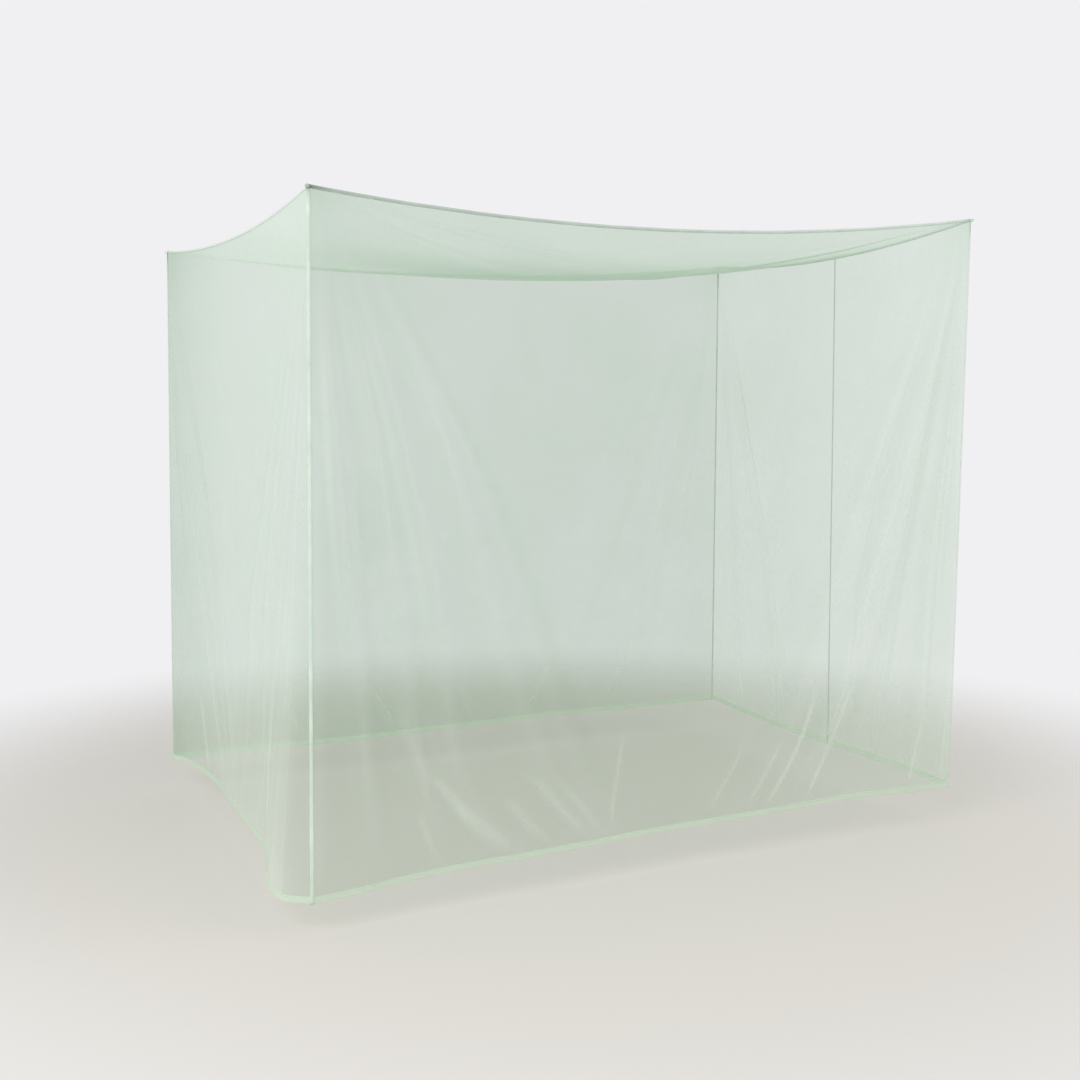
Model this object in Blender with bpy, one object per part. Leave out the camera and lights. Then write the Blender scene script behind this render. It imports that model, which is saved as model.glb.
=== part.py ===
"""Box mosquito net, hung by its four top corners and open underneath.

Metres, +Z up. The origin is the middle of the footprint, level with the lowest
point of the hem. +X runs along the long side, to the right seen from the front,
and +Y runs to the back. Every panel is a thin sheet in the shape in which it hangs.
"""

import math

import bmesh
import bpy
from mathutils import Vector

MM = 0.001

# Driving sizes of the net, cut for a single bed.
NET_LENGTH = 2.10
NET_WIDTH = 1.50
NET_DROP = 1.758

# Cloth and trim.
NET_THICKNESS = 1.2 * MM
HEM_THICKNESS = 2.6 * MM
HEM_HEIGHT = 17 * MM
BINDING_WIDTH = 4 * MM
BINDING_HEIGHT = 9 * MM
BINDING_STEP = 75 * MM
SHOULDER = 0.7  # how high on a binding its sides start to close in
TAPE_WIDTH = 6 * MM
TAPE_FLAT = 0.4  # the flat share of each side of a corner tape
SEAM_WIDTH = 6 * MM
SEAM_THICKNESS = 3 * MM
TAB_INSIDE = 2 * MM
TAB_OUTSIDE = 7 * MM
TAB_RISE = 4 * MM
TAB_ROUNDING = 1.5 * MM
SEAM_GAP = 0.5 * MM
TAPE_GAP = 0.8 * MM  # beside a corner tape, where the cloth's end may lean

# Where the true box lies, in mm, so that the uneven net is centred over the origin.
BOX_SHIFT = (10, 4, -2)

# The corners hang unevenly. Each row gives the side of the box on which the corner
# lies, then how far its top and its hem are from the true box, in mm (x, y, up).
CORNERS = {
    "front_left": {"side": (-1, -1), "top": (11, 0, 16), "hem": (-10, -4, 2)},
    "front_right": {"side": (1, -1), "top": (-5, 0, 44), "hem": (-26, 0, 42)},
    "back_right": {"side": (1, 1), "top": (50, -45, 14), "hem": (46, -45, 34)},
    "back_left": {"side": (-1, 1), "top": (0, 0, -14), "hem": (-24, 0, 28)},
}

# Each wall runs from one corner to the next. In mm: how far its top edge sags and is
# drawn in, how far its hem is drawn in and lifted, and its columns and rows of faces.
WALLS = {
    "front": {
        "corners": ("front_left", "front_right"),
        "sag": 66, "top_in": 18, "hem_in": 26, "hem_up": 9, "columns": 46, "rows": 16,
    },
    "right": {
        "corners": ("front_right", "back_right"),
        "sag": 46, "top_in": 16, "hem_in": 16, "hem_up": 4, "columns": 18, "rows": 15,
    },
    "back": {
        "corners": ("back_right", "back_left"),
        "sag": 54, "top_in": 18, "hem_in": 34, "hem_up": 8, "columns": 30, "rows": 12,
    },
    "left": {
        "corners": ("back_left", "front_left"),
        "sag": 40, "top_in": 14, "hem_in": 4, "hem_up": 4, "columns": 36, "rows": 16,
    },
}

# Heights above the hem, in mm, at which a fold's place along its wall is given.
FOLD_HEIGHTS = (1600, 1200, 700, 250, 0)

# A row for each fold: its place at those heights, in mm from the corner where the
# wall starts, then how far it stands out (+) or in (-) and half its width at the hem.
FOLDS = {
    "front": (
        {"path": (22, 50, 92, 128, 150), "depth": 16, "half": 46},
        {"path": (48, 112, 150, 190, 232), "depth": -13, "half": 48},
        {"path": (70, 158, 226, 292, 372), "depth": 14, "half": 50},
        {"path": (96, 220, 330, 390, 600), "depth": 22, "half": 66},
        {"path": (150, 330, 480, 640, 845), "depth": 18, "half": 78},
        {"path": (180, 420, 640, 800, 960), "depth": -12, "half": 70},
        {"path": (1950, 1790, 1610, 1440, 1215), "depth": 15, "half": 72},
        {"path": (2012, 1900, 1740, 1600, 1410), "depth": 20, "half": 64},
        {"path": (2042, 1965, 1860, 1690, 1545), "depth": -13, "half": 54},
        {"path": (2062, 2020, 1960, 1945, 1915), "depth": 15, "half": 48},
    ),
    "right": (
        {"path": (26, 66, 118, 150, 170), "depth": 14, "half": 44},
        {"path": (60, 150, 270, 350, 390), "depth": 17, "half": 54},
        {"path": (120, 270, 430, 480, 520), "depth": -11, "half": 50},
        {"path": (1400, 1255, 1080, 960, 910), "depth": 18, "half": 56},
        {"path": (1424, 1360, 1280, 1220, 1190), "depth": -12, "half": 50},
    ),
    "back": (
        {"path": (60, 120, 250, 340, 400), "depth": 18, "half": 70},
        {"path": (120, 290, 480, 640, 760), "depth": 16, "half": 80},
        {"path": (1850, 1640, 1450, 1300, 1220), "depth": 15, "half": 84},
        {"path": (2040, 1930, 1790, 1690, 1640), "depth": 18, "half": 70},
    ),
    "left": (
        {"path": (48, 143, 305, 450, 590), "depth": 9, "half": 70},
        {"path": (100, 300, 500, 610, 660), "depth": -8, "half": 74},
        {"path": (1425, 1212, 955, 862, 715), "depth": 9, "half": 66},
        {"path": (1442, 1296, 1110, 1090, 912), "depth": 8, "half": 60},
        {"path": (1468, 1412, 1318, 1240, 1070), "depth": 8, "half": 54},
    ),
}

# Broad waves of the hem, which die away upwards: place, reach outwards and half width.
HEM_WAVES = {
    "front": ({"place": 1060, "out": -8, "half": 420},),
    "right": (
        {"place": 200, "out": 12, "half": 190},
        {"place": 900, "out": -20, "half": 460},
    ),
    "back": ({"place": 700, "out": 22, "half": 380}, {"place": 1550, "out": -18, "half": 420}),
    "left": (
        {"place": 270, "out": -43, "half": 490},
        {"place": 700, "out": -27, "half": 560},
        {"place": 1382, "out": 66, "half": 352},
    ),
}
FOLD_START = 0.3  # the share of the drop over which a fold grows to its full depth
FOLD_TOP_WIDTH = 0.35  # a fold's width under the binding, as a share of that at the hem
HEM_HOLD = 0.85  # the share of a fold's depth that the stiffer hem takes away
HEM_HOLD_START = 0.8  # the share of the drop below which it does so
HEM_END = 0.2  # the share of a wall's length over which its hem is drawn in and lifted
WAVE_RISE = 1.7  # a higher power keeps the waves nearer to the hem
END_LENGTH = 56 * MM  # the stretch beside a seam in which folds and waves grow

# Between two corners the columns of a wall crowd towards both, as its folds do.
TOP_CROWDING = 2.2
HEM_CROWDING = 0.62
COLUMN_SPREAD = 1.3
ROW_CROWDING = 1.15

# The seam between the two cloths of the right-hand wall, as shares of its length from
# the front corner. It leans a little.
SEAM_AT_TOP = 0.455
SEAM_AT_HEM = 0.425

# The roof hangs lower than its edges. Each row is a fold that leaves a corner: the
# place that it heads for, as shares of the length and width, depth and half width.
ROOF_DIP = 22 * MM
ROOF_COLUMNS = 24
ROOF_ROWS = 17
ROOF_CROWDING = 0.35
ROOF_FOLD_START = 0.4  # the share of its length over which a roof fold grows
ROOF_FOLD_FADE = (0.6, 1.15)  # where it starts to fade, and where it ends
ROOF_FOLDS = (
    {"corner": (0, 0), "to": (0.50, 0.52), "depth": -9, "half": 110},
    {"corner": (0, 0), "to": (0.62, 0.34), "depth": 9, "half": 80},
    {"corner": (1, 0), "to": (0.58, 0.60), "depth": -8, "half": 120},
    {"corner": (0, 1), "to": (0.36, 0.60), "depth": -8, "half": 100},
    {"corner": (1, 1), "to": (0.62, 0.52), "depth": -8, "half": 100},
)


def clear_scene():
    for thing in list(bpy.data.objects):
        bpy.data.objects.remove(thing, do_unlink=True)


def cloth_material(name, colour, roughness):
    """A plain woven or knitted finish in one colour."""
    material = bpy.data.materials.new(name)
    material.use_nodes = True
    shader = material.node_tree.nodes["Principled BSDF"]
    shader.inputs["Base Color"].default_value = (*colour, 1)
    shader.inputs["Roughness"].default_value = roughness
    shader.inputs["Metallic"].default_value = 0
    return material


def net_material():
    return cloth_material("mint_polyester_net", (0.60, 0.74, 0.63), 0.75)


def tape_material():
    return cloth_material("green_polyester_tape", (0.49, 0.62, 0.51), 0.70)


def smooth(x):
    """0 up to 0, 1 from 1, and a soft step between."""
    x = min(max(x, 0), 1)
    return x * x * (3 - 2 * x)


def swell(distance, half):
    """1 in the middle of a soft ridge and 0 from half its width outwards."""
    share = abs(distance) / half
    return 0.5 + 0.5 * math.cos(math.pi * share) if share < 1 else 0


def corner_point(corner, end):
    """A corner's top or hem, from the true box and the corner's row."""
    row = CORNERS[corner]
    x, y, up = (place + shift for place, shift in zip(row[end], BOX_SHIFT))
    height = NET_DROP if end == "top" else 0
    return Vector((
        row["side"][0] * NET_LENGTH / 2 + x * MM,
        row["side"][1] * NET_WIDTH / 2 + y * MM,
        height + up * MM,
    ))


def outward(wall):
    """The level direction that points out of a wall."""
    start, end = (corner_point(corner, "top") for corner in WALLS[wall]["corners"])
    along = end - start
    return Vector((along.y, -along.x, 0)).normalized()


def wall_length(wall):
    start, end = (corner_point(corner, "top") for corner in WALLS[wall]["corners"])
    return (end - start).length


def top_edge(wall, u):
    """A point of the sagging top edge, u being 0 to 1 along the wall."""
    row = WALLS[wall]
    start, end = (corner_point(corner, "top") for corner in row["corners"])
    hang = 4 * u * (1 - u)
    point = start.lerp(end, u)
    point.z -= row["sag"] * MM * hang
    return point - outward(wall) * row["top_in"] * MM * hang


def hem_edge(wall, u):
    """A point of the hem without its waves."""
    row = WALLS[wall]
    start, end = (corner_point(corner, "hem") for corner in row["corners"])
    hang = smooth(u / HEM_END) * smooth((1 - u) / HEM_END)
    point = start.lerp(end, u)
    point.z += row["hem_up"] * MM * hang
    return point - outward(wall) * row["hem_in"] * MM * hang


def path_place(path, height):
    """Where a fold's smooth path lies at a height, in mm: a curve through its points."""
    height = min(max(height, FOLD_HEIGHTS[-1]), FOLD_HEIGHTS[0])
    low = next(i for i in range(1, len(path)) if height >= FOLD_HEIGHTS[i])
    high = low - 1

    def slope(i):
        before, after = max(i - 1, 0), min(i + 1, len(path) - 1)
        return (path[after] - path[before]) / (FOLD_HEIGHTS[after] - FOLD_HEIGHTS[before])

    span = FOLD_HEIGHTS[high] - FOLD_HEIGHTS[low]
    t = (height - FOLD_HEIGHTS[low]) / span
    return (
        (2 * t**3 - 3 * t**2 + 1) * path[low]
        + (t**3 - 2 * t**2 + t) * span * slope(low)
        + (3 * t**2 - 2 * t**3) * path[high]
        + (t**3 - t**2) * span * slope(high)
    )


def fold_depth(wall, place, drop):
    """How far the wall's folds and waves stand out at a place, in metres."""
    height = (1 - drop) * NET_DROP / MM
    held = 1 - HEM_HOLD * smooth((drop - HEM_HOLD_START) / (1 - HEM_HOLD_START))
    depth = 0
    for fold in FOLDS[wall]:
        half = fold["half"] * (FOLD_TOP_WIDTH + (1 - FOLD_TOP_WIDTH) * drop)
        grown = smooth(drop / FOLD_START) * held
        depth += fold["depth"] * grown * swell(place - path_place(fold["path"], height), half)
    for wave in HEM_WAVES[wall]:
        depth += wave["out"] * drop**WAVE_RISE * swell(place - wave["place"], wave["half"])
    return depth * MM


def wall_point(wall, u, drop):
    """A point of a wall, drop being 0 under its binding and 1 at the hem."""
    top = top_edge(wall, u) - Vector((0, 0, BINDING_HEIGHT / 2 + SEAM_GAP))
    length = wall_length(wall)
    beside_seam = smooth((min(u, 1 - u) * length - TAPE_WIDTH) / END_LENGTH)
    depth = fold_depth(wall, u * length / MM, drop) * beside_seam
    return top.lerp(hem_edge(wall, u), drop) + outward(wall) * depth


def column_place(t, drop):
    """The columns crowd towards the corners, most of all at the top."""
    near = min(t, 1 - t)
    crowded = 0.5 * (2 * near) ** TOP_CROWDING
    spread = near - HEM_CROWDING * math.sin(2 * math.pi * near) / (2 * math.pi)
    place = crowded + (spread - crowded) * drop ** (1 / COLUMN_SPREAD)
    return place if t <= 0.5 else 1 - place


def row_drops(rows):
    """How far down each row lies: the last two bound the hem, after a short step."""
    hem_top = 1 - HEM_HEIGHT / NET_DROP
    step = NET_THICKNESS / NET_DROP
    drops = [(hem_top - step) * (i / rows) ** ROW_CROWDING for i in range(rows + 1)]
    return drops + [hem_top, 1]


def sheet(name, grid, thickness, material):
    """A closed sheet from rows of points; thickness gives each row's own."""
    columns, rows = len(grid[0]), len(grid)
    mesh = bpy.data.meshes.new(name)
    shape = bmesh.new()
    points = [[shape.verts.new(place) for place in row] for row in grid]
    for i in range(rows - 1):
        for j in range(columns - 1):
            shape.faces.new((points[i][j], points[i][j + 1], points[i + 1][j + 1], points[i + 1][j]))
    shape.to_mesh(mesh)
    shape.free()
    mesh.shade_smooth()
    cloth = bpy.data.objects.new(name, mesh)
    bpy.context.collection.objects.link(cloth)
    mesh.materials.append(material)
    thickest = max(thickness)
    group = cloth.vertex_groups.new(name="thickness")
    for i, row_thickness in enumerate(thickness):
        group.add(list(range(i * columns, (i + 1) * columns)), row_thickness / thickest, "REPLACE")
    solidify = cloth.modifiers.new("thickness", "SOLIDIFY")
    solidify.thickness = thickest
    solidify.offset = 0
    solidify.vertex_group = group.name
    return cloth


def wall_sheet(name, wall, from_edge, to_edge, material):
    """A wall's cloth between two edges, each a function of the drop, and its hem."""
    drops = row_drops(WALLS[wall]["rows"])
    columns = WALLS[wall]["columns"]
    grid = []
    for drop in drops:
        start, end = from_edge(drop), to_edge(drop)
        shares = [column_place(j / columns, drop) for j in range(columns + 1)]
        grid.append([wall_point(wall, start + share * (end - start), drop) for share in shares])
    thickness = [NET_THICKNESS] * (len(drops) - 2) + [HEM_THICKNESS] * 2
    return sheet(name, grid, thickness, material)


def whole_wall(wall, material):
    clear = (TAPE_WIDTH / 2 + TAPE_GAP) / wall_length(wall)
    wall_sheet(f"{wall}_wall", wall, lambda drop: clear, lambda drop: 1 - clear, material)


def seam_place(drop):
    return SEAM_AT_TOP + (SEAM_AT_HEM - SEAM_AT_TOP) * drop


def right_wall(material):
    """Two cloths that meet at the seam tape."""
    length = wall_length("right")
    clear = (TAPE_WIDTH / 2 + TAPE_GAP) / length
    beside = (SEAM_WIDTH / 2 + SEAM_GAP) / length
    wall_sheet(
        "right_wall_front_cloth", "right",
        lambda drop: clear, lambda drop: seam_place(drop) - beside, material,
    )
    wall_sheet(
        "right_wall_back_cloth", "right",
        lambda drop: seam_place(drop) + beside, lambda drop: 1 - clear, material,
    )


def roof_point(s, t):
    """A point of the roof, s being 0 to 1 to the right and t 0 to 1 to the back."""
    inset = BINDING_WIDTH / 2 + SEAM_GAP

    def edge(wall, u):
        clear = inset / wall_length(wall)
        return top_edge(wall, clear + u * (1 - 2 * clear)) - outward(wall) * inset

    front, back = edge("front", s), edge("back", 1 - s)
    left, right = edge("left", 1 - t), edge("right", t)
    corners = (
        edge("front", 0) * (1 - s) * (1 - t)
        + edge("front", 1) * s * (1 - t)
        + edge("back", 1) * (1 - s) * t
        + edge("back", 0) * s * t
    )
    point = front * (1 - t) + back * t + left * (1 - s) + right * s - corners
    inside = 16 * s * (1 - s) * t * (1 - t)
    point.z -= ROOF_DIP * inside
    for fold in ROOF_FOLDS:
        point.z += roof_fold(fold, s, t) * min(4 * inside, 1)
    return point


def roof_fold(fold, s, t):
    """How far a fold lifts the roof: it widens from its corner and fades at its end."""
    size = Vector((NET_LENGTH, NET_WIDTH))
    start = Vector(fold["corner"]) * size
    reach = Vector(fold["to"]) * size - start
    away = Vector((s, t)) * size - start
    along = away.dot(reach) / reach.length_squared
    aside = away - reach * along
    half = fold["half"] * MM * (FOLD_TOP_WIDTH + (1 - FOLD_TOP_WIDTH) * smooth(along))
    fade, end = ROOF_FOLD_FADE
    grown = smooth(along / ROOF_FOLD_START) * smooth((end - along) / (end - fade))
    return fold["depth"] * MM * grown * swell(aside.length, half)


def roof_panel(material):
    def crowd(x):
        return x - ROOF_CROWDING * math.sin(2 * math.pi * x) / (2 * math.pi)

    columns = [crowd(i / ROOF_COLUMNS) for i in range(ROOF_COLUMNS + 1)]
    rows = [crowd(i / ROOF_ROWS) for i in range(ROOF_ROWS + 1)]
    grid = [[roof_point(s, t) for s in columns] for t in rows]
    return sheet("roof_panel", grid, [NET_THICKNESS] * len(rows), material)


def strip(name, places, sides, ups, profile, material):
    """A narrow tape: a section of (aside, up) points swept through the places."""
    mesh = bpy.data.meshes.new(name)
    shape = bmesh.new()
    rings = [
        [shape.verts.new(place + side * aside + up * rise) for aside, rise in profile]
        for place, side, up in zip(places, sides, ups)
    ]
    for ring, following in zip(rings, rings[1:]):
        for i in range(len(ring)):
            k = (i + 1) % len(ring)
            shape.faces.new((ring[i], ring[k], following[k], following[i]))
    shape.faces.new(rings[0])
    shape.faces.new(rings[-1])
    bmesh.ops.recalc_face_normals(shape, faces=shape.faces)
    shape.to_mesh(mesh)
    shape.free()
    tape = bpy.data.objects.new(name, mesh)
    bpy.context.collection.objects.link(tape)
    mesh.materials.append(material)
    return tape


def lozenge(width, height):
    """A six-sided section, flat on both sides and pointed above and below."""
    half, low = width / 2, height / 2
    shoulder = SHOULDER * low
    return (
        (half, shoulder), (0, low), (-half, shoulder),
        (-half, -shoulder), (0, -low), (half, -shoulder),
    )


def roof_binding(wall, material):
    """The tape folded over the seam between the roof and one wall."""
    length = wall_length(wall)
    clear = (TAB_INSIDE + SEAM_GAP) / length
    steps = round(length / BINDING_STEP)
    shares = [clear + (1 - 2 * clear) * i / steps for i in range(steps + 1)]
    places = [top_edge(wall, u) for u in shares]
    sides = [outward(wall)] * len(places)
    ups = [Vector((0, 0, 1))] * len(places)
    profile = lozenge(BINDING_WIDTH, BINDING_HEIGHT)
    return strip(f"{wall}_roof_binding", places, sides, ups, profile, material)


def corner_tape(corner, material):
    """The tape sewn down a corner where two walls meet."""
    top = corner_point(corner, "top") - Vector((0, 0, BINDING_HEIGHT / 2 + SEAM_GAP))
    hem = corner_point(corner, "hem")
    half = TAPE_WIDTH / 2
    flat = TAPE_FLAT * half
    profile = (
        (half, flat), (flat, half), (-flat, half), (-half, flat),
        (-half, -flat), (-flat, -half), (flat, -half), (half, -flat),
    )
    axes = [Vector((1, 0, 0))] * 2, [Vector((0, 1, 0))] * 2
    return strip(f"{corner}_corner_tape", [top, hem], *axes, profile, material)


def seam_tape(material):
    """The tape down the seam in the right-hand wall, in the plane of the cloth."""
    drops = row_drops(WALLS["right"]["rows"])
    places = [wall_point("right", seam_place(drop), drop) for drop in drops]
    ends = [corner_point(corner, "top") for corner in WALLS["right"]["corners"]]
    along = (ends[1] - ends[0]).normalized()
    half, thick = SEAM_WIDTH / 2, SEAM_THICKNESS / 2
    profile = ((half, thick), (-half, thick), (-half, -thick), (half, -thick))
    across = [along] * len(places), [outward("right")] * len(places)
    return strip("right_wall_seam_tape", places, *across, profile, material)


def corner_tab(corner, material):
    """The folded patch at a top corner, by which the net is tied up."""
    side_x, side_y = CORNERS[corner]["side"]
    wide = TAB_OUTSIDE + TAB_INSIDE
    tall = BINDING_HEIGHT / 2 + TAB_RISE
    mesh = bpy.data.meshes.new(f"{corner}_tab")
    shape = bmesh.new()
    bmesh.ops.create_cube(shape, size=1)
    bmesh.ops.scale(shape, vec=(wide, wide, tall), verts=shape.verts)
    bmesh.ops.bevel(
        shape, geom=shape.edges[:], offset=TAB_ROUNDING, segments=2, profile=0.6, affect="EDGES"
    )
    shape.to_mesh(mesh)
    shape.free()
    tab = bpy.data.objects.new(f"{corner}_tab", mesh)
    bpy.context.collection.objects.link(tab)
    mesh.materials.append(material)
    shift = (TAB_OUTSIDE - TAB_INSIDE) / 2
    tab.location = corner_point(corner, "top") + Vector(
        (side_x * shift, side_y * shift, (TAB_RISE - BINDING_HEIGHT / 2) / 2)
    )
    return tab


def build_net():
    clear_scene()
    net, tape = net_material(), tape_material()
    roof_panel(net)
    for wall in ("front", "back", "left"):
        whole_wall(wall, net)
    right_wall(net)
    for wall in WALLS:
        roof_binding(wall, tape)
    for corner in CORNERS:
        corner_tape(corner, tape)
        corner_tab(corner, tape)
    seam_tape(tape)


build_net()
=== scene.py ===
# Box mosquito net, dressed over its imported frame. Metres, +Z up.
# The net hangs by its four top corners. +X runs along its long side and +Y to the back.
import math

import bmesh
import bpy
import numpy as np
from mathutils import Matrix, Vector


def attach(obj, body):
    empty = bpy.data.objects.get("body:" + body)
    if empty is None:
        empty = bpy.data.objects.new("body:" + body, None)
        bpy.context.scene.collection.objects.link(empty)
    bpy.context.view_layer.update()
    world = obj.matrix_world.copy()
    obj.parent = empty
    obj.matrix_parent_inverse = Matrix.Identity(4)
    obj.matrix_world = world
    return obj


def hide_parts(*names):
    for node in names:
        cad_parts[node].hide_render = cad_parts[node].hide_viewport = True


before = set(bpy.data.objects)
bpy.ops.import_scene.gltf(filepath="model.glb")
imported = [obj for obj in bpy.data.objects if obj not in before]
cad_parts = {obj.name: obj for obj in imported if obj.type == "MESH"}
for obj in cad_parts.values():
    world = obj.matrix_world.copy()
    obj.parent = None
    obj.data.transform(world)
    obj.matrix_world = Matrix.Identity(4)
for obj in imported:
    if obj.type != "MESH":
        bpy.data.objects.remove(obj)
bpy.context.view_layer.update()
print("frame loaded:", len(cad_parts), "nodes")

mm = 0.001
up = np.array((0.0, 0.0, 1.0))

cameraView = {
    "place": (-2.105, -4.135, 1.283),
    "turnRight": 26.605,  # degrees from +Y
    "tiltDown": 5.909,
    "lens": 47.94,
    "sensor": 36.0,
    "clipEnd": 200,
}

studio = {
    "floorHeight": -0.08,  # the hem hangs this far above the floor
    "floorSize": 60.0,
    "floorColour": "#DCD8D2",  # matt paint: even and without shine
    "floorRoughness": 0.9,
    "floorShine": 0.2,
    "floorFade": (1.5, 3.1),  # m from the net, over which the floor melts into the pale background
    "backColour": "#F0F0F2",
    "roomLight": 0.62,  # how bright the background is as a light, as against how it looks
    # place, size and strength of each soft light; all of them face the net's middle
    "lights": {
        "keySoftbox": {"place": (-5.0, -3.2, 3.2), "size": 4.4, "watts": 205},
        "topSoftbox": {"place": (0.3, 0.2, 5.2), "size": 4.4, "watts": 62},
        "rightSoftbox": {"place": (3.8, -3.4, 2.4), "size": 4.0, "watts": 76},
    },
    "lightsFace": (0.0, 0.0, 0.9),
}


def toLinear(hexColour):
    parts = [int(hexColour[i:i + 2], 16) / 255 for i in (1, 3, 5)]
    return [p / 12.92 if p <= 0.04045 else ((p + 0.055) / 1.055) ** 2.4 for p in parts] + [1.0]


# A shader node. Words in lower case are its settings and the others its inputs, by name or as i and their
# number. An input is a value, a socket, or a node that stands for its first output.
def addNode(tree, kind, **words):
    node = tree.nodes.new("ShaderNode" + kind)
    for word, value in words.items():
        byNumber = word[0] == "i" and word[1:].isdigit()
        if word[0].islower() and not byNumber:
            setattr(node, word, value)
            continue
        socket = node.inputs[int(word[1:]) if byNumber else word.replace("_", " ")]
        value = value.outputs[0] if isinstance(value, bpy.types.Node) else value
        if isinstance(value, bpy.types.NodeSocket):
            tree.links.new(value, socket)
        else:
            socket.default_value = value
    return node


def newMaterial(name):
    material = bpy.data.materials.new(name)
    material.use_nodes = True
    material.node_tree.nodes.clear()
    return material, material.node_tree


def setCamera():
    data = bpy.data.cameras.new("camera")
    data.lens = cameraView["lens"]
    data.sensor_width = cameraView["sensor"]
    data.clip_end = cameraView["clipEnd"]
    camera = bpy.data.objects.new("camera", data)
    camera.location = cameraView["place"]
    tilt, turn = math.radians(90 - cameraView["tiltDown"]), math.radians(-cameraView["turnRight"])
    camera.rotation_euler = (tilt, 0, turn)
    bpy.context.scene.collection.objects.link(camera)
    bpy.context.scene.camera = camera


def makeStudio():
    world = bpy.data.worlds.new("studio")
    bpy.context.scene.world = world
    world.use_nodes = True
    tree = world.node_tree
    back = tree.nodes["Background"]
    back.inputs["Color"].default_value = toLinear(studio["backColour"])
    seen = addNode(tree, "LightPath").outputs["Is Camera Ray"]
    strength = addNode(tree, "MapRange", Value=seen, To_Min=studio["roomLight"], To_Max=1.0)
    tree.links.new(strength.outputs[0], back.inputs["Strength"])
    bpy.context.scene.view_settings.view_transform = "Standard"

    bpy.ops.object.select_all(action="DESELECT")
    bpy.ops.mesh.primitive_plane_add(size=studio["floorSize"], location=(0, 0, studio["floorHeight"]))
    floor = bpy.context.active_object
    floor.name = "floor"
    material, tree = newMaterial("mattPaleFloor")
    shader = addNode(tree, "BsdfPrincipled", Base_Color=toLinear(studio["floorColour"]),
                     Roughness=studio["floorRoughness"], Specular_IOR_Level=studio["floorShine"])
    spot = addNode(tree, "TexCoord").outputs["Object"]
    away = addNode(tree, "VectorMath", operation="LENGTH", i0=spot)
    near, far = studio["floorFade"]
    fade = addNode(tree, "MapRange", interpolation_type="SMOOTHSTEP", Value=away.outputs["Value"],
                   From_Min=near, From_Max=far)
    clear = addNode(tree, "BsdfTransparent")
    mix = addNode(tree, "MixShader", i0=fade, i1=shader, i2=clear)
    addNode(tree, "OutputMaterial", Surface=mix)
    floor.data.materials.append(material)

    for name, row in studio["lights"].items():
        lamp = bpy.data.lights.new(name, "AREA")
        lamp.shape = "SQUARE"
        lamp.size = row["size"]
        lamp.energy = row["watts"]
        light = bpy.data.objects.new(name, lamp)
        light.location = row["place"]
        facing = Vector(studio["lightsFace"]) - Vector(row["place"])
        light.rotation_euler = facing.to_track_quat("-Z", "Y").to_euler()
        bpy.context.scene.collection.objects.link(light)


setCamera()
makeStudio()
print("camera and studio set")


# The net's hanging form, as in the frame.
netCut = {
    "length": 2.10,
    "width": 1.50,
    "drop": 1.758,
    "shift": (10, 4, -2),  # mm, brings the uneven net's middle over the origin
}

# How far each corner's top and hem are from the true box, in mm (x, y, up).
corners = {
    "front_left": {"side": (-1, -1), "top": (11, 0, 16), "hem": (-10, -4, 2)},
    "front_right": {"side": (1, -1), "top": (-5, 0, 44), "hem": (-26, 0, 42)},
    "back_right": {"side": (1, 1), "top": (50, -45, 14), "hem": (46, -45, 34)},
    "back_left": {"side": (-1, 1), "top": (0, 0, -14), "hem": (-24, 0, 28)},
}

# In mm: how far the top edge sags and is drawn in, and how far the hem is drawn in and lifted.
# The last is how much paler the wall's net is painted than the plain net, at its start, middle and end:
# painted light for how brightly each wall is lit, and below zero a painted shade.
walls = {
    "front": {"from": "front_left", "to": "front_right", "sag": 66, "topIn": 18, "hemIn": 26, "hemUp": 9,
              "pale": (0.08, 0.0, 0.4)},
    "right": {"from": "front_right", "to": "back_right", "sag": 46, "topIn": 16, "hemIn": 16, "hemUp": 4,
              "pale": (1.1, 0.5, 0.35)},
    "back": {"from": "back_right", "to": "back_left", "sag": 54, "topIn": 18, "hemIn": 34, "hemUp": 8,
             "pale": (0.0, 0.0, 0.0)},
    "left": {"from": "back_left", "to": "front_left", "sag": 40, "topIn": 14, "hemIn": 4, "hemUp": 4,
             "pale": (-0.15, 0.36, 0.34)},
}

foldShape = {
    "heights": (1600, 1200, 700, 250, 0),  # mm above the hem, for each place along a fold's path
    "start": 0.3,  # share of the drop over which a fold grows
    "topWidth": 0.35,
    "hemHold": 0.85,  # share of a fold that the stiffer hem takes away
    "hemHoldStart": 0.8,
    "hemEnd": 0.2,
    "waveRise": 1.7,
    "endLength": 56 * mm,  # beside a seam the folds die away over this stretch
}


def crest(*path, **form):  # one fold or crease: the path of its crest, then its form
    return {"path": path, **form}


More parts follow.
